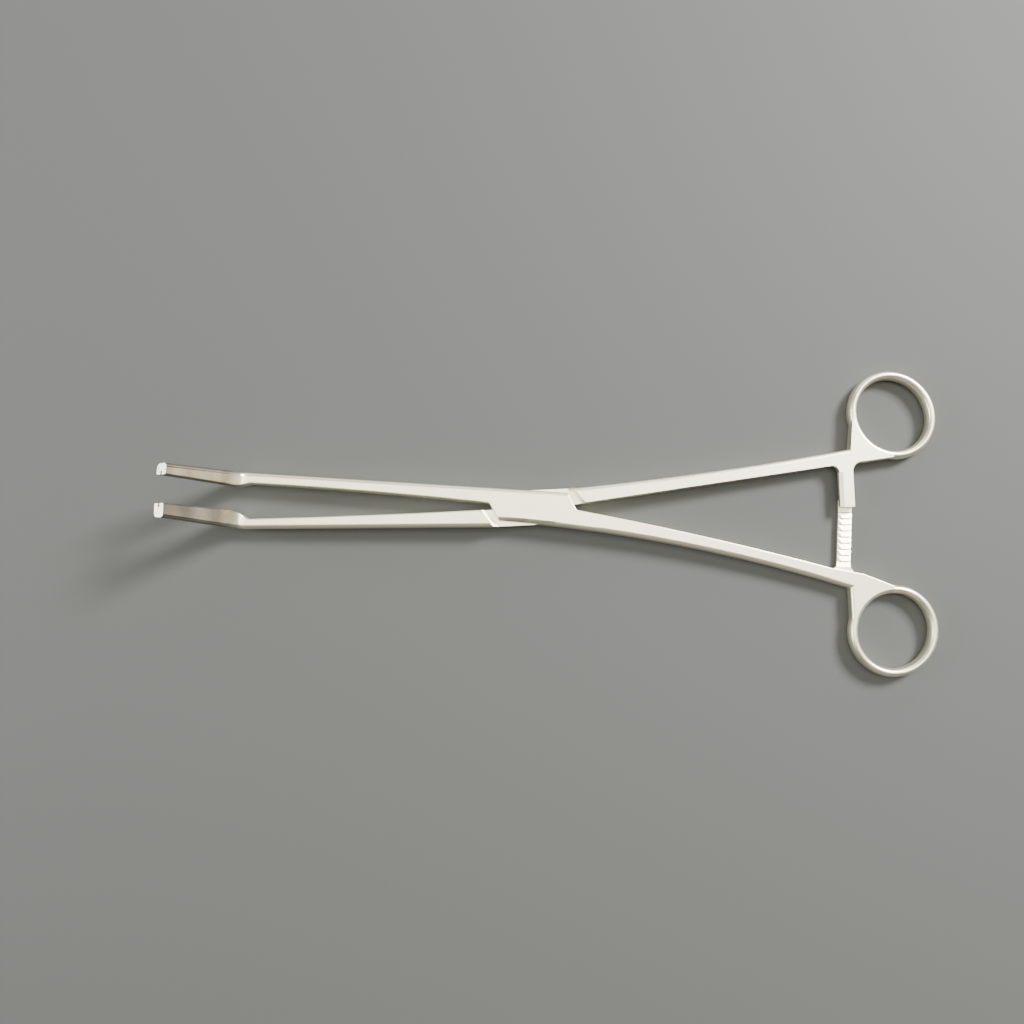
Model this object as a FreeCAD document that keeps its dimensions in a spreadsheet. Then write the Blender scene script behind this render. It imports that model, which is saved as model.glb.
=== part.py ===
import FreeCAD, Part
import os
import re
import Sketcher
from FreeCAD import Placement, Rotation, Vector
from math import atan2, radians, sqrt

# Stomach resection clamp with a box lock, ratchet and finger rings, in millimetres.
# X runs along the clamp, with the jaws towards -X. The pin stands on the Z axis, and the
# underside of the box lies on Z = 0. Each half is drawn closed, with its clamping face on
# the plane Y = 0, and is then turned about the pin to its resting place.

SIZES = {
    # Box lock, shared by both halves
    "rest_opening": 4.4,
    "box_height": 6.8,
    "box_flat": 17.0,
    "tongue_thick": 2.5,
    "tongue_half_width": 5.75,
    "tongue_side": 0.6,
    "stop_angle": 32.0,
    "lock_clearance": 0.05,
    "slot_clearance": 0.12,
    "pin_diameter": 4.0,
    "pin_clearance": 0.04,
    "shoulder_distance": 14.55,
    "shoulder_angle": 37.5,
    "shoulder_facet": 0.35,
    "shoulder_facet_drop": 1.2,
    "shoulder_ramp": 1.3,
    # Side view, shared by both halves
    "jaw_root": 97.5,
    "jaw_length": 28.75,
    "jaw_angle": 55.0,
    "bend_radius": 3.0,
    "arm_height": 4.8,
    "handle_end": 99.0,
    "handle_low": 0.15,
    "handle_height": 4.55,
    "handle_over": 30.0,
    # Jaws
    "jaw_face_gap": 0.4,
    "jaw_tip_gap": 0.03,
    "jaw_heel_step": 3.4,
    "jaw_heel_radius": 3.5,
    "heel_blend": 3.0,
    "groove_width": 0.75,
    "groove_depth": 0.8,
    # Edges
    "outer_edge_radius": 1.3,
    "inner_edge_radius": 0.4,
    "crotch_radius": 1.0,
    # Finger rings
    "ring_long_radius": 13.8,
    "ring_short_radius": 13.0,
    "ring_tilt": 28.0,
    "ring_width": 2.8,
    "ring_height": 4.7,
    "ring_crown_radius": 1.1,
    # Ratchet
    "bar_left": 102.1,
    "bar_inner_fillet": 2.2,
    "bar_outer_fillet": 3.0,
    "bar_clearance": 0.1,
    "bar_split": 2.35,
    "bar_root_depth": 1.5,
    "web_margin": 0.5,
    "web_drop": 1.2,
    "tooth_pitch": 2.04,
    "tooth_depth": 0.6,
    "tooth_slant": 4.0,
    "bar_bevel": 1.2,
    "bar_bevel_drop": 0.6,
    # Female half
    "female_heel_outer": 5.15,
    "female_tip_outer": 3.5,
    "female_arm_inner_heel": 1.6,
    "female_arm_inner_box": 0.3,
    "female_arm_radius": 1540.0,
    "plate_corner_x": 11.1,
    "plate_corner_y": 5.55,
    "plate_crotch_x": 14.4,
    "plate_low_corner_x": 10.9,
    "plate_low_corner_y": 5.1,
    "female_web_x": 105.9,
    "female_web_y": 19.4,
    "female_outer_radius": 526.0,
    "female_inner_end_y": 13.2,
    "female_inner_radius": 1085.0,
    "female_ring_x": 120.7,
    "female_ring_y": 32.3,
    "female_bar_width": 4.4,
    "female_bar_reach": 9.8,
    "female_teeth": 9,
    "female_first_tooth": 5.8,
    # Male half
    "male_heel_outer": 6.2,
    "male_tip_outer": 4.3,
    "male_arm_inner_heel": 3.0,
    "male_arm_radius": 2800.0,
    "male_shoulder_outer": 6.3,
    "male_shoulder_x": 14.3,
    "male_web_x": 106.3,
    "male_web_y": 18.8,
    "male_outer_radius": 1140.0,
    "male_inner_end_y": 13.1,
    "male_ring_x": 121.2,
    "male_ring_y": 30.4,
    "male_bar_width": 4.8,
    "male_bar_reach": 0.6,
    "male_teeth": 3,
    "male_first_tooth": -0.84,
}

doc = FreeCAD.newDocument("clamp")
sheet = doc.addObject("Spreadsheet::Sheet", "Sizes")
for row, (alias, size) in enumerate(SIZES.items(), start=1):
    sheet.set(f"A{row}", alias)
    sheet.set(f"B{row}", str(size))
    sheet.setAlias(f"B{row}", alias)
doc.recompute()


def linked(text):
    """An expression in which every size's name points to its cell."""
    return re.sub(r"[a-z][a-z_]+",
                  lambda word: "Sizes." + word[0] if word[0] in SIZES else word[0], text)


def value(text):
    """The number that an expression of size names gives."""
    result = sheet.evalExpression(linked(text))
    return float(getattr(result, "Value", result))


def bind(item, place, text):
    item.setExpression(place, linked(text))


def new_sketch(body, name, role, shift=(0, 0, 0), turn=None):
    """A sketch on one of the body's own origin planes, moved by shift in the plane's own axes."""
    sketch = body.newObject("Sketcher::SketchObject", name)
    plane = next(item for item in body.Origin.OriginFeatures if item.Role == role)
    sketch.AttachmentSupport = [(plane, "")]
    sketch.MapMode = "FlatFace"
    sketch.AttachmentOffset = Placement(Vector(*[value(text) for text in map(str, shift)]), Rotation())
    for axis, text in zip(("x", "y", "z"), map(str, shift)):
        bind(sketch, f"AttachmentOffset.Base.{axis}", text)
    if turn:
        axis, text = turn
        sketch.AttachmentOffset = Placement(sketch.AttachmentOffset.Base,
                                            Rotation(Vector(*axis), value(text)))
        bind(sketch, "AttachmentOffset.Rotation.Angle", text)
    return sketch


def place_point(sketch, geometry, end, x, y):
    """Hold one end of a line or arc at the place that two expressions give."""
    for kind, text in (("DistanceX", x), ("DistanceY", y)):
        index = sketch.addConstraint(Sketcher.Constraint(kind, -1, 1, geometry, end, value(text)))
        bind(sketch, f"Constraints[{index}]", text)


def arc_between(start, end, radius, bulge):
    """An arc between two points whose middle lies on the side that bulge points to."""
    chord = end - start
    across = Vector(-chord.y, chord.x, 0).normalize()
    if across.dot(bulge) < 0:
        across = across * -1
        start, end = end, start
    centre = (start + end) / 2 - across * sqrt(radius ** 2 - chord.Length ** 2 / 4)
    first = atan2(start.y - centre.y, start.x - centre.x)
    last = atan2(end.y - centre.y, end.x - centre.x)
    if first > last:
        first, last = last, first
    if last - first > radians(180):
        first, last = last, first + radians(360)
    return Part.ArcOfCircle(Part.Circle(centre, Vector(0, 0, 1), radius), first, last)


def draw_outline(sketch, corners):
    """A closed outline through corners given as pairs of expressions. A corner that also
    gives a radius and a bulge is left by an arc, and any other by a straight edge."""
    points = [Vector(value(corner[0]), value(corner[1]), 0) for corner in corners]
    edges = []
    for number, corner in enumerate(corners):
        start, end = points[number], points[(number + 1) % len(points)]
        if len(corner) == 2:
            edges.append((sketch.addGeometry(Part.LineSegment(start, end), False), 1, 2))
            continue
        radius, bulge = corner[2:]
        geometry = sketch.addGeometry(arc_between(start, end, value(radius), Vector(*bulge, 0)), False)
        forward = sketch.Geometry[geometry].StartPoint.isEqual(start, 1e-6)
        edges.append((geometry, 1 if forward else 2, 2 if forward else 1))
        index = sketch.addConstraint(Sketcher.Constraint("Radius", geometry, value(radius)))
        bind(sketch, f"Constraints[{index}]", radius)
    for number, (geometry, first, last) in enumerate(edges):
        following, entry, _ = edges[(number + 1) % len(edges)]
        sketch.addConstraint(Sketcher.Constraint("Coincident", geometry, last, following, entry))
        place_point(sketch, geometry, first, *corners[number][:2])


def add_pad(body, name, sketch, length, midplane=False, reverse=False):
    pad = body.newObject("PartDesign::Pad", name)
    pad.Profile = sketch
    bind(pad, "Length", length)
    pad.Midplane = midplane
    pad.Reversed = reverse
    doc.recompute()
    return pad


def add_pocket(body, name, sketch, length, midplane=False, reverse=False):
    """A pocket, tested to take metal away."""
    least_cut = 0.01
    before = body.Shape.Volume
    pocket = body.newObject("PartDesign::Pocket", name)
    pocket.Profile = sketch
    bind(pocket, "Length", length)
    pocket.Midplane = midplane
    pocket.Reversed = reverse
    doc.recompute()
    if body.Shape.Volume > before - least_cut:
        raise RuntimeError(f"{name} cuts nothing")
    return pocket


def add_fillet(body, name, edges, radius):
    base = body.Tip
    fillet = body.newObject("PartDesign::Fillet", name)
    fillet.Base = (base, edges)
    bind(fillet, "Radius", radius)
    doc.recompute()
    return fillet


def upright_edges(shape, places):
    """Names of the upright edges that stand at the given places in plan."""
    lean, reach = 1e-4, 0.05
    names = []
    for number, edge in enumerate(shape.Edges, start=1):
        ends = [vertex.Point for vertex in edge.Vertexes]
        if len(ends) < 2 or Vector(ends[0].x - ends[1].x, ends[0].y - ends[1].y, 0).Length > lean:
            continue
        if any(Vector(ends[0].x - x, ends[0].y - y, 0).Length < reach for x, y in places):
            names.append(f"Edge{number}")
    return names


def side_outline(body):
    """The half seen from the side: bent jaw, tapered arm, thick box, tapered handle."""
    bend = "(bend_radius + arm_height / 2) * tan(jaw_angle / 2)"
    bend_x = f"(-jaw_root + {bend})"
    bend_z = "((box_height + arm_height) / 2 + bend_radius)"
    run = f"(jaw_length - {bend})"
    far = "(bend_radius + arm_height)"
    heel_bottom, heel_top = "(box_height - arm_height) / 2", "(box_height + arm_height) / 2"
    corners = [
        (bend_x, heel_bottom, far, (-1, -1)),
        (f"{bend_x} - {far} * sin(jaw_angle)", f"{bend_z} - {far} * cos(jaw_angle)"),
        (f"{bend_x} - {far} * sin(jaw_angle) - {run} * cos(jaw_angle)",
         f"{bend_z} - {far} * cos(jaw_angle) + {run} * sin(jaw_angle)"),
        (f"{bend_x} - bend_radius * sin(jaw_angle) - {run} * cos(jaw_angle)",
         f"{bend_z} - bend_radius * cos(jaw_angle) + {run} * sin(jaw_angle)"),
        (f"{bend_x} - bend_radius * sin(jaw_angle)", f"{bend_z} - bend_radius * cos(jaw_angle)",
         "bend_radius", (-1, -1)),
        (bend_x, heel_top),
        ("-box_flat", "box_height"),
        ("box_flat", "box_height"),
        ("handle_end", "handle_low + handle_height"),
        ("handle_end + handle_over", "handle_low + handle_height"),
        ("handle_end + handle_over", "handle_low"),
        ("handle_end", "handle_low"),
        ("box_flat", "0"),
        ("-box_flat", "0"),
    ]
    sketch = new_sketch(body, "SideOutline", "XZ_Plane")
    draw_outline(sketch, corners)
    return sketch


def plan_outline(body, corners):
    """What lies outside the half in plan, as a frame round its outline."""
    sketch = new_sketch(body, "PlanOutline", "XY_Plane")
    draw_outline(sketch, corners)
    reach = "(jaw_root + 2 * jaw_length)"
    draw_outline(sketch, [(f"-{reach}", f"-{reach}"), (reach, f"-{reach}"), (reach, reach),
                          (f"-{reach}", reach)])
    return sketch


def jaw_corners(half, arm_side, arm_slope):
    """Outer edge, clamping face and heel of the jaw in plan, up to the arm's inner edge. The
    outer edge turns in from the arm's line to the jaw's by a gentle curve at the heel."""
    bulge = (0, value(f"{arm_side}1"))
    reach = "(jaw_root + jaw_length)"
    over = "(jaw_length - jaw_length * cos(jaw_angle))"
    face_slope = "(jaw_face_gap - jaw_tip_gap) / (jaw_length * cos(jaw_angle))"
    outer_slope = f"(({half}_heel_outer - {half}_tip_outer) / (jaw_length * cos(jaw_angle)))"
    arm_turn, jaw_turn = f"atan({arm_slope})", f"atan({outer_slope})"
    return [
        (f"-jaw_root + heel_blend * cos({arm_turn})",
         f"{arm_side}({half}_heel_outer + heel_blend * sin({arm_turn}))",
         f"heel_blend / tan(({jaw_turn} - {arm_turn}) / 2)", bulge),
        (f"-jaw_root - heel_blend * cos({jaw_turn})",
         f"{arm_side}({half}_heel_outer - heel_blend * sin({jaw_turn}))"),
        (f"-{reach}", f"{arm_side}({half}_tip_outer - {outer_slope} * {over})"),
        (f"-{reach}", f"{arm_side}(jaw_tip_gap - {face_slope} * {over})"),
        ("-jaw_root", f"{arm_side}jaw_face_gap"),
        ("-jaw_root + jaw_heel_step", f"{arm_side}{half}_arm_inner_heel", f"{half}_arm_radius", bulge),
    ]


def web_corners(half, handle_side):
    """Flat web between handle, finger ring and ratchet bar, from the handle's outer edge
    round the middle of the ring to the handle's inner edge."""
    return [
        (f"{half}_web_x", f"{handle_side}{half}_web_y"),
        (f"{half}_ring_x - ring_long_radius", f"{handle_side}({half}_ring_y - ring_width / 2)"),
        (f"{half}_ring_x", f"{handle_side}{half}_ring_y"),
        (f"{half}_ring_x - ring_width / 4",
         f"{handle_side}({half}_ring_y - ring_long_radius - ring_width / 3)"),
        (f"bar_left + {half}_bar_width + bar_outer_fillet + web_margin",
         f"{handle_side}({half}_inner_end_y + web_drop)"),
    ]


def tangent_point(x, y):
    """Where a line from the point x, y touches the round of the tongue, on its left."""
    angle = f"(atan2({y}; {x}) + acos(tongue_half_width / sqrt(({x})^2 + ({y})^2)))"
    return f"tongue_half_width * cos{angle}", f"tongue_half_width * sin{angle}"


def opposite(point):
    return tuple(f"-({text})" for text in point)


def female_plan():
    """Plan of the female half: the box's cheeks end on two slanting lines."""
    arm_slope = "((plate_corner_y - female_heel_outer) / (jaw_root + plate_corner_x))"
    return jaw_corners("female", "", arm_slope) + [
        ("-plate_crotch_x", "female_arm_inner_box"),
        ("-plate_low_corner_x", "-plate_low_corner_y", "female_outer_radius", (0, 1)),
    ] + web_corners("female", "-") + [
        ("bar_left - bar_inner_fillet - web_margin", "-female_inner_end_y", "female_inner_radius", (0, 1)),
        ("plate_crotch_x", "0"),
        ("plate_corner_x", "plate_corner_y"),
    ]


def male_plan():
    """Plan of the male half: between its shoulders the tongue is round about the pin."""
    arm_slope = "((male_shoulder_outer - male_heel_outer) / (jaw_root - male_shoulder_x))"
    root = ("-(tongue_half_width + tongue_side * cos(stop_angle)) / sin(stop_angle)", "-tongue_side")
    side = ("-tongue_half_width * sin(stop_angle)", "tongue_half_width * cos(stop_angle)")
    crown = tangent_point("male_shoulder_x", "male_shoulder_outer")
    return jaw_corners("male", "-", arm_slope) + [
        root,
        (*side, "tongue_half_width", (-1, 4)),
        crown,
        ("male_shoulder_x", "male_shoulder_outer", "male_outer_radius", (0, -1)),
    ] + web_corners("male", "") + [
        ("bar_left - bar_inner_fillet - web_margin", "male_inner_end_y"),
        opposite(root),
        (*opposite(side), "tongue_half_width", (1, -4)),
        opposite(crown),
        ("-male_shoulder_x", "-male_shoulder_outer"),
    ]


def add_bar(body, half, sign, low, height):
    """Ratchet bar: reaches from the handle past the middle of the clamp."""
    root = f"{half}_inner_end_y + bar_root_depth"
    corners = [
        ("bar_left", f"{-sign} * ({root})"),
        (f"bar_left + {half}_bar_width", f"{-sign} * ({root})"),
        (f"bar_left + {half}_bar_width", f"{sign} * {half}_bar_reach"),
        ("bar_left", f"{sign} * {half}_bar_reach"),
    ]
    sketch = new_sketch(body, "BarOutline", "XY_Plane", (0, 0, low))
    draw_outline(sketch, corners)
    return add_pad(body, "Bar", sketch, height)


def bar_root_places(half, sign):
    """Where the bar's two sides leave the handle's inner edge, in plan."""
    left_x, left_y = value("bar_left - bar_inner_fillet - web_margin"), value(f"{half}_inner_end_y")
    right_x = value(f"bar_left + {half}_bar_width + bar_outer_fillet + web_margin")
    slope = value("web_drop") / (right_x - left_x)
    return [(x, -sign * (left_y + slope * (x - left_x)))
            for x in (value("bar_left"), value(f"bar_left + {half}_bar_width"))]


def rim_edges(body, half, outer):
    """Names of the edges that run along the half between its walls and its upper or lower
    faces: those on the outside of the clamp, or else those on its inside. The upper inner
    edge of the male handle and bar stays sharp, and so do the edges of the tongue."""
    shape = body.Shape
    wall_ahead, flat_least, end_least, upright = 0.6, 0.3, 0.99, 1e-4
    jaw_way = Rotation(Vector(0, 1, 0), value("jaw_angle")).multVec(Vector(-1, 0, 0))
    names = []
    for number, edge in enumerate(shape.Edges, start=1):
        faces = shape.ancestorsOfType(edge, Part.Face)
        middle = edge.valueAt((edge.FirstParameter + edge.LastParameter) / 2)
        normals = [face.normalAt(*face.Surface.parameter(middle)) for face in faces]
        walls = [normal for normal in normals if abs(normal.z) < upright]
        flats = [normal for normal in normals if abs(normal.y) < upright and abs(normal.z) > flat_least]
        if len(walls) != 1 or len(flats) != 1 or abs(flats[0].dot(jaw_way)) > end_least:
            continue
        wall = walls[0]
        crosswise = abs(wall.x) > wall_ahead
        over_ring = Vector(middle.x - value(f"{half}_ring_x"), abs(middle.y) - value(f"{half}_ring_y"), 0)
        bar_end = middle.x > value("bar_left") and abs(middle.y) < value(f"{half}_inner_end_y - web_drop")
        if over_ring.Length < value("ring_short_radius") or (bar_end and not crosswise):
            continue
        above = middle.x > 0 and middle.z > value("box_height / 2")
        upper_inner = above and max(wall.x, wall.y) < wall_ahead
        if half == "male" and (upper_inner or abs(middle.x) < value("male_shoulder_x")):
            continue
        near_axis = abs(middle.y) < value("tongue_half_width / 3")
        outward = wall.y * middle.y > 0 and not crosswise and not near_axis
        web_side = crosswise and abs(middle.y) > value(f"{half}_web_y")
        if outer == (outward or web_side):
            names.append(f"Edge{number}")
    return names


def add_ring(body, half, sign):
    """Finger ring: an oval section of four arcs carried round an ellipse, after the web is
    cleared from its opening."""
    tilt = f"90 - ({sign} * ring_tilt)"
    path = new_sketch(body, "RingPath", "XY_Plane",
                      (f"{half}_ring_x", f"{-sign} * {half}_ring_y", "ring_height / 2"),
                      ((0, 0, 1), tilt))
    ellipse = Part.Ellipse(Vector(0, 0, 0), value("ring_long_radius"), value("ring_short_radius"))
    path.addGeometry(ellipse, False)
    path.exposeInternalGeometry(0)
    path.addConstraint(Sketcher.Constraint("Coincident", 0, 3, -1, 1))
    path.addConstraint(Sketcher.Constraint("PointOnObject", 1, 1, -1))
    for number, size in ((1, "ring_long_radius"), (2, "ring_short_radius")):
        index = path.addConstraint(Sketcher.Constraint("Distance", number, 2 * value(size)))
        bind(path, f"Constraints[{index}]", f"2 * {size}")
    add_pocket(body, "RingOpening", path, "3 * box_height", midplane=True)
    section = new_sketch(body, "RingSection", "XZ_Plane",
                         (f"{half}_ring_x", "ring_height / 2", f"{sign} * {half}_ring_y"),
                         ((0, 1, 0), tilt))
    across, up = "(ring_width / 2)", "(ring_height / 2 - ring_crown_radius)"
    flank = f"(({across}^2 - ring_crown_radius^2 + {up}^2) / (2 * ({across} - ring_crown_radius)))"
    joint_x = f"({across} - {flank} + {flank} * ({flank} - {across}) / ({flank} - ring_crown_radius))"
    joint_y = f"({flank} * {up} / ({flank} - ring_crown_radius))"
    draw_outline(section, [
        (f"ring_long_radius + {joint_x}", f"-{joint_y}", flank, (1, 0)),
        (f"ring_long_radius + {joint_x}", joint_y, "ring_crown_radius", (0, 1)),
        (f"ring_long_radius - {joint_x}", joint_y, flank, (-1, 0)),
        (f"ring_long_radius - {joint_x}", f"-{joint_y}", "ring_crown_radius", (0, -1)),
    ])
    ring = body.newObject("PartDesign::AdditivePipe", "Ring")
    ring.Profile = section
    ring.Spine = path
    ring.Mode = "Frenet"
    doc.recompute()
    return ring


def add_groove(body, sign):
    """Groove along the middle of the clamping face, from the heel out through the jaw's end."""
    start, end = "bend_radius", "(jaw_length + bend_radius)"
    middle = "box_height / 2"
    corners = []
    for along, across in ((start, "-"), (end, "-"), (end, "+"), (start, "+")):
        corners.append((
            f"-jaw_root - {along} * cos(jaw_angle) {across} groove_width / 2 * sin(jaw_angle)",
            f"{middle} + {along} * sin(jaw_angle) {across} groove_width / 2 * cos(jaw_angle)",
        ))
    sketch = new_sketch(body, "GrooveOutline", "XZ_Plane")
    draw_outline(sketch, corners)
    return add_pocket(body, "Groove", sketch, "jaw_face_gap + groove_depth", reverse=sign < 0)


def add_round_hole(body, name, diameter):
    sketch = new_sketch(body, name + "Outline", "XY_Plane", (0, 0, "box_height / 2"))
    sketch.addGeometry(Part.Circle(Vector(0, 0, 0), Vector(0, 0, 1), value(diameter) / 2), False)
    sketch.addConstraint(Sketcher.Constraint("Coincident", 0, 3, -1, 1))
    index = sketch.addConstraint(Sketcher.Constraint("Diameter", 0, value(diameter)))
    bind(sketch, f"Constraints[{index}]", diameter)
    return add_pocket(body, name, sketch, "3 * box_height", midplane=True)


def add_mortise(body):
    """Slot between the cheeks of the box. Its two side walls lie at the stop angle, clear of
    the tongue's round, so that the tongue can swing from closed to fully open."""
    wall = "(tongue_half_width + slot_clearance)"
    edge = "(tongue_side - slot_clearance)"
    away = "2 * tongue_half_width"
    quarter = [
        (f"-({wall} - {away} * cos(stop_angle)) / sin(stop_angle)", away),
        (f"-({wall} + {edge} * cos(stop_angle)) / sin(stop_angle)", f"-{edge}"),
        ("-2 * plate_crotch_x", f"-{edge}"),
        ("-2 * plate_crotch_x", f"-{away}"),
    ]
    sketch = new_sketch(body, "MortiseOutline", "XY_Plane",
                        (0, 0, "(box_height - tongue_thick) / 2 - lock_clearance"))
    draw_outline(sketch, quarter + [opposite(point) for point in quarter])
    return add_pocket(body, "Mortise", sketch, "tongue_thick + 2 * lock_clearance", reverse=True)


def add_recess(body, name, level):
    """Recess above or below the tongue, with a short steep facet and a ramp at each shoulder."""
    facet_foot = "(shoulder_distance - shoulder_facet)"
    ramp_foot = f"({facet_foot} - shoulder_ramp)"
    sketch = new_sketch(body, name + "Outline", "XZ_Plane", (0, 0, 0), ((0, 1, 0), "shoulder_angle"))
    depths = ["(box_height / 2 + shoulder_facet_drop)", "(box_height / 2 - shoulder_facet_drop)",
              "tongue_thick / 2"]
    places = ["(shoulder_distance + shoulder_facet)", facet_foot, ramp_foot]
    right = [(place, f"box_height / 2 {level} {depth}") for place, depth in zip(places, depths)]
    left = [(f"-{place}", height) for place, height in reversed(right)]
    draw_outline(sketch, right + left)
    return add_pocket(body, name, sketch, "6 * tongue_half_width", midplane=True)


def add_teeth(body, half, sign, tip_level, cut_way):
    """Ratchet teeth: notches with a steep face and a long ramp, in a row along the bar."""
    first = f"{half}_first_tooth"
    corners = [
        (f"{sign} * {first}", tip_level),
        (f"{sign} * {first}", f"{tip_level} {cut_way} tooth_depth"),
        (f"{sign} * ({first} - tooth_pitch)", tip_level),
    ]
    sketch = new_sketch(body, "NotchOutline", "YZ_Plane", (0, 0, f"bar_left + {half}_bar_width / 2"),
                        ((0, 1, 0), "tooth_slant"))
    draw_outline(sketch, corners)
    notch = add_pocket(body, "Notch", sketch, f"2 * {half}_bar_width", midplane=True)
    row = body.newObject("PartDesign::LinearPattern", "Teeth")
    row.Originals = [notch]
    row.Direction = (next(item for item in body.Origin.OriginFeatures if item.Role == "Y_Axis"), [""])
    row.Reversed = sign > 0
    row.Mode = "Spacing"
    bind(row, "Offset", "tooth_pitch")
    bind(row, "Occurrences", f"{half}_teeth")
    body.Tip = row
    doc.recompute()
    return row


def add_bar_bevel(body, half, sign, level):
    """Bevel along the upper edge of the bar that faces the pin."""
    foot = f"{level} - bar_bevel_drop - web_margin * bar_bevel_drop / bar_bevel"
    corners = [
        ("bar_left - web_margin", foot),
        ("bar_left + bar_bevel", level),
        ("bar_left + bar_bevel", f"{level} + web_margin"),
        ("bar_left - web_margin", f"{level} + web_margin"),
    ]
    length = f"{half}_bar_reach + {half}_inner_end_y - bar_inner_fillet"
    sketch = new_sketch(body, "BevelOutline", "XZ_Plane", (0, 0, f"{-sign} * {half}_bar_reach"))
    draw_outline(sketch, corners)
    return add_pocket(body, "Bevel", sketch, length, reverse=sign > 0)


def shape_half(name, half, sign, plan, bar_low, bar_top):
    """What both halves start from: blank, plan, bar and rounded outer edges."""
    body = doc.addObject("PartDesign::Body", name)
    body.Label = name
    add_pad(body, "Blank", side_outline(body), "16 * box_height", midplane=True)
    add_pocket(body, "PlanTrim", plan_outline(body, plan), "16 * box_height", midplane=True)
    add_bar(body, half, sign, bar_low, f"{bar_top} - ({bar_low})")
    inner_root, outer_root = bar_root_places(half, sign)
    add_fillet(body, "BarRootInner", upright_edges(body.Shape, [inner_root]), "bar_inner_fillet")
    add_fillet(body, "BarRootOuter", upright_edges(body.Shape, [outer_root]), "bar_outer_fillet")
    heel = [(value("-jaw_root"), sign * value("jaw_face_gap")),
            (value("-jaw_root + jaw_heel_step"), sign * value(f"{half}_arm_inner_heel"))]
    add_fillet(body, "HeelCurve", upright_edges(body.Shape, heel), "jaw_heel_radius")
    add_fillet(body, "OuterEdges", rim_edges(body, half, True), "outer_edge_radius")
    return body


def finish_half(body, half, sign):
    """Inner edges, groove and ring."""
    add_fillet(body, "InnerEdges", rim_edges(body, half, False), "inner_edge_radius")
    add_groove(body, sign)
    add_ring(body, half, sign)


split_low = "(bar_split - bar_clearance / 2)"
split_high = "(bar_split + bar_clearance / 2)"
handle_top = "(handle_low + handle_height)"

female = shape_half("female_half", "female", 1, female_plan(), "handle_low", split_low)
crotches = [(value("-plate_crotch_x"), value("female_arm_inner_box")), (value("plate_crotch_x"), 0)]
add_fillet(female, "Crotches", upright_edges(female.Shape, crotches), "crotch_radius")
finish_half(female, "female", 1)
add_bar_bevel(female, "female", 1, split_low)
add_teeth(female, "female", 1, split_low, "-")
add_mortise(female)
add_round_hole(female, "PinHole", "pin_diameter")

male = shape_half("male_half", "male", -1, male_plan(), split_high, handle_top)
finish_half(male, "male", -1)
add_bar_bevel(male, "male", -1, handle_top)
add_teeth(male, "male", -1, split_high, "+")
add_recess(male, "UpperRecess", "+")
add_recess(male, "LowerRecess", "-")
add_round_hole(male, "PinHole", "pin_diameter + 2 * pin_clearance")

pin = doc.addObject("PartDesign::Body", "joint_pin")
pin.Label = "joint_pin"
round_outline = new_sketch(pin, "PinOutline", "XY_Plane")
round_outline.addGeometry(Part.Circle(Vector(0, 0, 0), Vector(0, 0, 1), value("pin_diameter") / 2), False)
round_outline.addConstraint(Sketcher.Constraint("Coincident", 0, 3, -1, 1))
round_outline.addConstraint(Sketcher.Constraint("Diameter", 0, value("pin_diameter")))
bind(round_outline, "Constraints[1]", "pin_diameter")
add_pad(pin, "Pin", round_outline, "box_height")

for body, turn in ((female, -1), (pin, -1), (male, 1)):
    body.Placement = Placement(Vector(0, 0, 0), Rotation(Vector(0, 0, 1), turn * value("rest_opening") / 2))
    bind(body, "Placement.Rotation.Angle", f"{turn} * rest_opening / 2")
doc.recompute()

for item in doc.Objects:
    if "Invalid" in item.State or "Error" in item.State:
        raise RuntimeError(f"{item.Label} failed: {item.getStatusString()}")
os.makedirs("parts", exist_ok=True)
for body in (female, male, pin):
    if body.Shape.isNull() or not body.Shape.isValid() or len(body.Shape.Solids) != 1:
        raise RuntimeError(f"{body.Label} is not one sound solid")
for body in (female, male, pin):
    body.Shape.exportStep(f"parts/{body.Label}.step")
    print(body.Label, round(body.Shape.Volume, 1), "mm3")
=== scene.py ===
import math

import bpy
from mathutils import Matrix, Vector


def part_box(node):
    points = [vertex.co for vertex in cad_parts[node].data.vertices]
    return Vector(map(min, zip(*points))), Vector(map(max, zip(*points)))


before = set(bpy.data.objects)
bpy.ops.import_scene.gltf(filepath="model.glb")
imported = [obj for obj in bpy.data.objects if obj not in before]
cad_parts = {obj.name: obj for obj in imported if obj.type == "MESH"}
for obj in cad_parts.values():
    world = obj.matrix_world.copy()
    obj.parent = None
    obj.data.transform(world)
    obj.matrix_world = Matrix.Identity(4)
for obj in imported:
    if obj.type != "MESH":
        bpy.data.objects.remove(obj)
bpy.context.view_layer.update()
bpy.ops.object.select_all(action="DESELECT")

# Female half: left arm and bent jaw, box of the lock, handle, finger ring and lower ratchet bar.
# One forging of stainless steel, ground and tumbled to a pale satin. Its jaw is polished on the
# face that looks towards the handles, and that face carries painted reflection in streaky brown;
# both sides of the jaw carry painted shade.
female_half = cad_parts["female_half"]
jaw_tip_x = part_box("female_half")[0].x
polished_length, polish_blend = 0.0185, 0.0025
polish_start = jaw_tip_x + polished_length


# The dark and pale colours of the jaw face are painted reflection of the dim room, not the steel's
# own colour.
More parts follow.
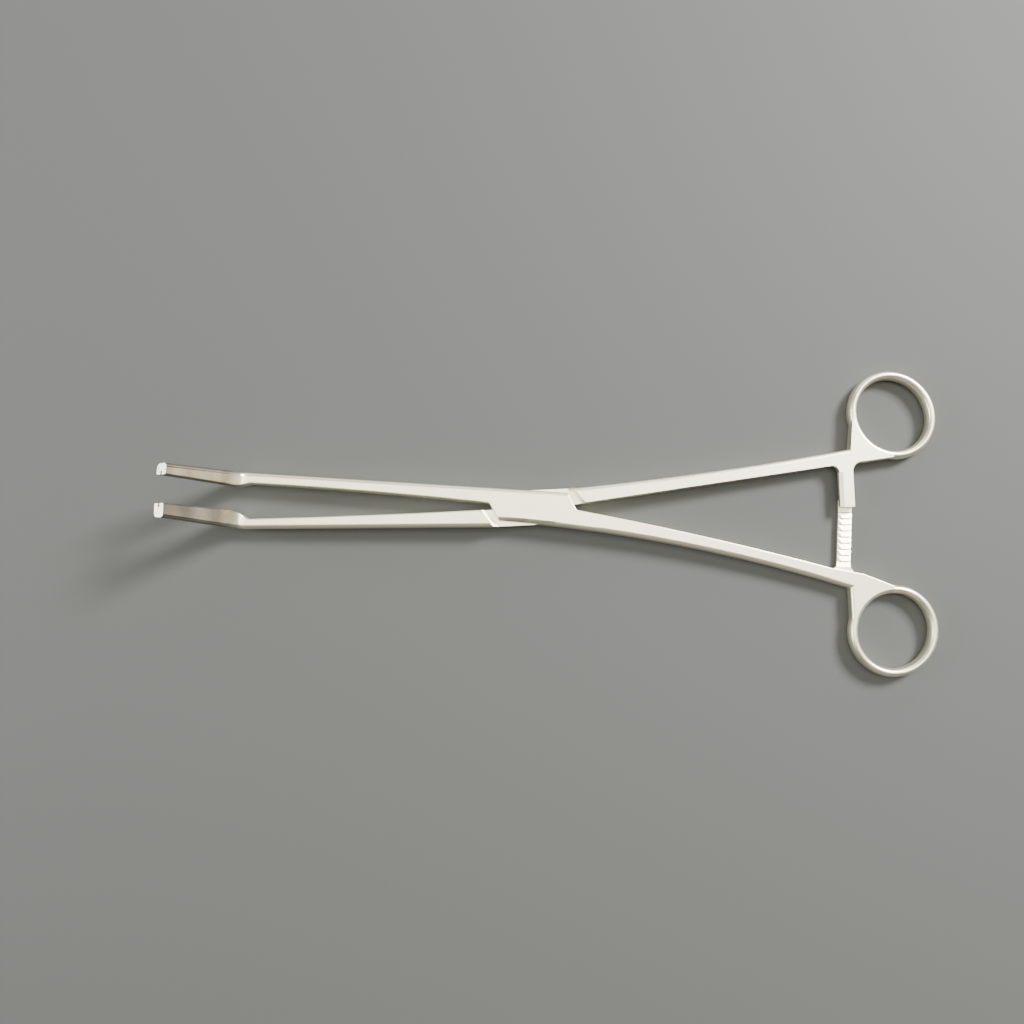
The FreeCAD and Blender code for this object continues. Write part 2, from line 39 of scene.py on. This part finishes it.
def satin_steel(name, offset, dark_painted_reflection=(0.50, 0.47, 0.35), pale_painted_reflection=(0.84, 0.79, 0.61)):
    """Pale satin steel with a fine tumbled grain; on the jaw, a polished face with painted
    reflection in streaky brown and sides with painted shade.
    """
    rosy_satin, olive_satin = (0.92, 0.85, 0.69, 1), (0.87, 0.85, 0.66, 1)
    # Painted shade: both sides of the jaw are painted dark.
    flank_painted_shade = (0.24, 0.22, 0.17, 1)
    finest_satin, coarsest_satin, polish_roughness = 0.34, 0.46, 0.16
    grain_strength, grain_height = 0.10, 0.0001
    # Each pair says where a mask starts and where it is full.
    turned_to_handles, turned_sideways = (0.45, 0.72), (0.4, 0.8)
    patch_edge, painted_reflection_streak_edge = (0.38, 0.62), (0.35, 0.65)
    jaw_edge = (polish_start + polish_blend, polish_start - polish_blend)

    material = bpy.data.materials.new(name)
    material.use_nodes = True
    nodes, links = material.node_tree.nodes, material.node_tree.links
    shader = nodes["Principled BSDF"]
    shader.inputs["Metallic"].default_value = 1.0
    place = nodes.new("ShaderNodeTexCoord")
    shift = nodes.new("ShaderNodeMapping")
    shift.inputs["Location"].default_value = offset
    links.new(place.outputs["Object"], shift.inputs["Vector"])

    def noise(scale, detail, stretch=(1, 1, 1)):
        along = nodes.new("ShaderNodeMapping")
        along.inputs["Scale"].default_value = stretch
        links.new(shift.outputs["Vector"], along.inputs["Vector"])
        texture = nodes.new("ShaderNodeTexNoise")
        texture.inputs["Scale"].default_value = scale
        texture.inputs["Detail"].default_value = detail
        links.new(along.outputs["Vector"], texture.inputs["Vector"])
        return texture.outputs["Fac"]

    def remap(source, low, high, to_low=0, to_high=1):
        change = nodes.new("ShaderNodeMapRange")
        change.inputs["From Min"].default_value = low
        change.inputs["From Max"].default_value = high
        change.inputs["To Min"].default_value = to_low
        change.inputs["To Max"].default_value = to_high
        links.new(source, change.inputs["Value"])
        return change.outputs["Result"]

    def calculate(operation, *sources):
        step = nodes.new("ShaderNodeMath")
        step.operation = operation
        for number, source in enumerate(sources):
            links.new(source, step.inputs[number])
        return step.outputs["Value"]

    def mix(kind, factor, first, second):
        """A blend from first to second. A mix node has its own pair of inputs for each kind."""
        blend = nodes.new("ShaderNodeMix")
        blend.data_type = kind
        first_input, second_input, output = {"FLOAT": (2, 3, 0), "RGBA": (6, 7, 2)}[kind]
        for source, number in ((first, first_input), (second, second_input)):
            if isinstance(source, bpy.types.NodeSocket):
                links.new(source, blend.inputs[number])
            else:
                blend.inputs[number].default_value = source
        links.new(factor, blend.inputs["Factor"])
        return blend.outputs[output]

    split_place = nodes.new("ShaderNodeSeparateXYZ")
    links.new(place.outputs["Object"], split_place.inputs["Vector"])
    split_normal = nodes.new("ShaderNodeSeparateXYZ")
    links.new(place.outputs["Normal"], split_normal.inputs["Vector"])
    on_jaw = remap(split_place.outputs["X"], *jaw_edge)
    facing_handles = remap(split_normal.outputs["X"], *turned_to_handles)
    facing_sideways = remap(calculate("ABSOLUTE", split_normal.outputs["Y"]), *turned_sideways)
    # This mask gives the jaw face both its real smoother polish and its painted reflection colour.
    on_polish_and_painted_reflection = calculate("MULTIPLY", on_jaw, facing_handles)
    on_flank_painted_shade = calculate("MULTIPLY", on_jaw, facing_sideways)

    grain = noise(scale=2400, detail=3)
    patches = noise(scale=110, detail=3)
    painted_reflection_streaks = noise(scale=150, detail=1, stretch=(1, 0.3, 1))
    satin = mix("RGBA", remap(patches, *patch_edge), rosy_satin, olive_satin)
    # Painted reflection: the polished jaw face is painted in streaks from dark to pale brown.
    jaw_face_painted_reflection = mix("RGBA", remap(painted_reflection_streaks, *painted_reflection_streak_edge), (*dark_painted_reflection, 1), (*pale_painted_reflection, 1))
    # Painted shade on the jaw's sides.
    ground = mix("RGBA", on_flank_painted_shade, satin, flank_painted_shade)
    links.new(mix("RGBA", on_polish_and_painted_reflection, ground, jaw_face_painted_reflection), shader.inputs["Base Color"])
    satin_roughness = remap(patches, 0, 1, finest_satin, coarsest_satin)
    roughness = mix("FLOAT", on_polish_and_painted_reflection, satin_roughness, polish_roughness)
    links.new(roughness, shader.inputs["Roughness"])
    relief = nodes.new("ShaderNodeBump")
    relief.inputs["Strength"].default_value = grain_strength
    relief.inputs["Distance"].default_value = grain_height
    links.new(grain, relief.inputs["Height"])
    links.new(relief.outputs["Normal"], shader.inputs["Normal"])
    return material


female_half.material_slots[0].material = satin_steel("female_half_satin", (0, 0, 0))

# Male half: the other forging of the same steel and finish, with darker painted reflection on the
# polished face of its jaw. Its tongue runs through the box of the female half, and its ratchet bar
# lies on top of the other.
male_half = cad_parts["male_half"]
male_half.material_slots[0].material = satin_steel(
    "male_half_satin",
    (3.1, 1.7, 0.4),
    # Darker painted reflection on this jaw's polished face.
    dark_painted_reflection=(0.26, 0.255, 0.22),
    pale_painted_reflection=(0.51, 0.485, 0.42),
)

# Joint pin: a short round of stainless steel, pressed into both cheeks of the box and ground
# flush with them, so that it shows only as a faint disc.
joint_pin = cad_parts["joint_pin"]
joint_pin.material_slots[0].material = satin_steel("joint_pin_ground", (5.7, 2.9, 1.3))

# Bench: a plain grey top under the clamp, painted matt, so that it shows only soft shadows. It
# lies level under the box of the lock and the finger rings.
bench_size = 6
bpy.ops.mesh.primitive_plane_add(size=bench_size, location=(0, 0, 0))
bench = bpy.context.object
bench.name = "bench"
bench_paint = bpy.data.materials.new("bench_matt_grey")
bench_paint.use_nodes = True
bench_shader = bench_paint.node_tree.nodes["Principled BSDF"]
bench_shader.inputs["Base Color"].default_value = (0.078, 0.082, 0.080, 1)
bench_shader.inputs["Roughness"].default_value = 0.8
bench.data.materials.append(bench_paint)

# Light: a long soft panel overhead, a stronger small one at the upper right, weaker ones low at
# the left and at the far side, and two dim warm walls, near and behind the rings, in a dim room.
# Each is aimed at the pin.
for name, place, width, depth, power, colour in (
    ("overhead_panel", (0.0, 0.12, 1.3), 1.7, 0.7, 19, (1, 0.97, 0.86)),
    ("right_panel", (0.75, 0.62, 0.68), 0.32, 0.32, 42, (1, 0.99, 0.96)),
    ("left_panel", (-1.0, 0.0, 0.32), 0.5, 0.5, 11, (1, 1, 0.98)),
    ("far_panel", (-0.1, 1.3, 0.35), 1.6, 0.5, 9, (1, 0.98, 0.9)),
    ("near_wall", (0.1, -1.4, 0.4), 1.0, 1.0, 1.4, (1, 0.68, 0.58)),
    ("warm_wall", (1.9, -0.1, 0.45), 1.0, 1.0, 4, (1, 0.86, 0.68)),
):
    bpy.ops.object.light_add(type="AREA", location=place)
    panel = bpy.context.object
    panel.name = name
    panel.data.shape = "RECTANGLE"
    panel.data.size = width
    panel.data.size_y = depth
    panel.data.energy = power
    panel.data.color = colour
    panel.rotation_euler = (-Vector(place)).to_track_quat("-Z", "Y").to_euler()
room = bpy.data.worlds.new("room")
room.use_nodes = True
room_shader = room.node_tree.nodes["Background"]
room_shader.inputs["Color"].default_value = (0.80, 0.80, 0.78, 1)
room_shader.inputs["Strength"].default_value = 0.22
bpy.context.scene.world = room

# Camera: held 27 cm above the bench near the middle of the clamp, tipped a little towards the
# far edge and turned a little about the upright, as the clamp lies a little askew.
camera_place = Vector((-0.0069, -0.02783, 0.268))
camera_tip, bench_turn = math.atan(0.1), math.radians(1.7)
camera_data = bpy.data.cameras.new("camera")
camera_data.sensor_width = 36
camera_data.lens = 28.125
camera = bpy.data.objects.new("camera", camera_data)
bpy.context.collection.objects.link(camera)
turned = Matrix.Rotation(bench_turn, 4, "Z")
tipped = Matrix.Rotation(camera_tip, 4, "X")
camera.matrix_world = turned @ Matrix.Translation(camera_place) @ tipped
bpy.context.scene.camera = camera
